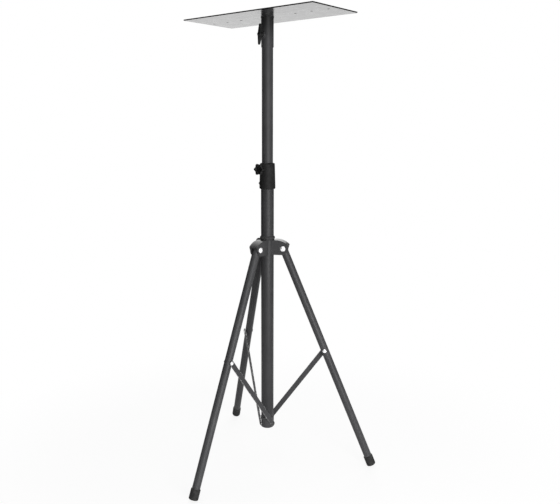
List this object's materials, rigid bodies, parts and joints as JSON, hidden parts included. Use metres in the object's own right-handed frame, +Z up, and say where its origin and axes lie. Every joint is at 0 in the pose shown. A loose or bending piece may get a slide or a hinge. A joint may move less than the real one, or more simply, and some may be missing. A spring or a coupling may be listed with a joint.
{
  "type": "tripod equipment stand",
  "caption": "Folding tripod stand with a telescopic mast, clamp collar, sliding leg hub with flat braces and a flat perforated top plate on a swivel socket.",
  "frame": {"origin": "on the floor under the axis of the column", "axes": "+Z up along the column, +X along the long side of the top plate, the front leg points to -Y"},
  "size_m": [0.6392, 0.5576, 1.448],
  "materials": {
    "dark_paint": "satin charcoal paint",
    "black_plastic": "fine matte",
    "black_steel": "blackened",
    "zinc_steel": "bright zinc plate",
    "foot_rubber": "matte",
    "insert_brass": "turned",
    "pad_nylon": "moulded"
  },
  "bodies": {
    "column": {"column_tube": "dark_paint", "base_cup": "dark_paint", "clamp_collar": "black_plastic", "collar_screw": "black_steel", "collar_insert": "insert_brass"},
    "mast": {"mast_tube": "dark_paint", "mast_bush": "black_plastic", "mast_cap": "black_plastic"},
    "plate_head": {"top_plate": "dark_paint", "plate_socket": "dark_paint", "socket_boss": "dark_paint"},
    "plate_knob": {"wing_knob": "black_plastic", "wing_stud": "zinc_steel", "wing_pad": "pad_nylon"},
    "collar_knob": {"star_knob": "black_plastic", "star_stud": "zinc_steel", "star_pad": "pad_nylon"},
    "hub": {"hub_sleeve": "dark_paint", "hub_bush": "black_plastic", "hub_arm_front": "dark_paint", "hub_arm_right": "dark_paint", "hub_arm_left": "dark_paint", "hub_boss": "dark_paint", "hinge_bolts": "zinc_steel", "hinge_nuts": "zinc_steel"},
    "hub_lock": {"hub_knob": "black_plastic", "hub_stud": "zinc_steel"},
    "leg_front_body": {"leg_front": "dark_paint", "foot_front": "foot_rubber", "leg_rivet_front": "zinc_steel"},
    "brace_front_body": {"brace_front": "dark_paint", "base_pin_front": "black_steel"},
    "leg_right_body": {"leg_right": "dark_paint", "foot_right": "foot_rubber", "leg_rivet_right": "zinc_steel"},
    "brace_right_body": {"brace_right": "dark_paint", "base_pin_right": "black_steel"},
    "leg_left_body": {"leg_left": "dark_paint", "foot_left": "foot_rubber", "leg_rivet_left": "zinc_steel"},
    "brace_left_body": {"brace_left": "dark_paint", "base_pin_left": "black_steel"}
  },
  "joints": [
    {"name": "mast_slide", "type": "slide", "parent": "column", "child": "mast", "axis": [0, 0, 1], "range_m": [-0.345, 0.11]},
    {"name": "plate_swivel", "type": "hinge", "parent": "mast", "child": "plate_head", "pos_m": [0, 0, 1.4445], "axis": [0, 0, 1], "continuous": true},
    {"name": "star_knob_turn", "type": "hinge", "parent": "column", "child": "collar_knob", "pos_m": [0, -0.036, 0.987], "axis": [0, -1, 0], "range_deg": [0, 450]},
    {"name": "wing_knob_turn", "type": "hinge", "parent": "plate_head", "child": "plate_knob", "pos_m": [0, -0.034, 1.3914], "axis": [0, -1, 0], "range_deg": [0, 450]},
    {"name": "hub_slide", "type": "slide", "parent": "column", "child": "hub", "axis": [0, 0, 1], "range_m": [0, 0.0849]},
    {"name": "hub_knob_turn", "type": "hinge", "parent": "hub", "child": "hub_lock", "pos_m": [0, 0.0368, 0.73145], "axis": [0, 1, 0], "range_deg": [0, 450]},
    {"name": "leg_front_fold", "type": "hinge", "parent": "hub", "child": "leg_front_body", "pos_m": [0, -0.052, 0.73345], "axis": [1, 0, 0], "range_deg": [0, 22.5]},
    {"name": "brace_front_fold", "type": "hinge", "parent": "leg_front_body", "child": "brace_front_body", "pos_m": [0, -0.1913, 0.39716], "axis": [-1, 0, 0], "range_deg": [0, 48.96]},
    {"name": "leg_right_fold", "type": "hinge", "parent": "hub", "child": "leg_right_body", "pos_m": [0.04503, 0.026, 0.73345], "axis": [-0.5, 0.866, 0], "range_deg": [0, 22.5]},
    {"name": "brace_right_fold", "type": "hinge", "parent": "leg_right_body", "child": "brace_right_body", "pos_m": [0.16567, 0.09565, 0.39716], "axis": [0.5, -0.866, 0], "range_deg": [0, 48.96]},
    {"name": "leg_left_fold", "type": "hinge", "parent": "hub", "child": "leg_left_body", "pos_m": [-0.04503, 0.026, 0.73345], "axis": [-0.5, -0.866, 0], "range_deg": [0, 22.5]},
    {"name": "brace_left_fold", "type": "hinge", "parent": "leg_left_body", "child": "brace_left_body", "pos_m": [-0.16567, 0.09565, 0.39716], "axis": [0.5, 0.866, 0], "range_deg": [0, 48.96]}
  ],
  "couplings": [
    {"joint": "leg_front_fold", "follows": "hub_slide", "rad_per_m": 4.6251},
    {"joint": "brace_front_fold", "follows": "hub_slide", "rad_per_m": 10.064},
    {"joint": "leg_right_fold", "follows": "hub_slide", "rad_per_m": 4.6251},
    {"joint": "brace_right_fold", "follows": "hub_slide", "rad_per_m": 10.064},
    {"joint": "leg_left_fold", "follows": "hub_slide", "rad_per_m": 4.6251},
    {"joint": "brace_left_fold", "follows": "hub_slide", "rad_per_m": 10.064}
  ]
}
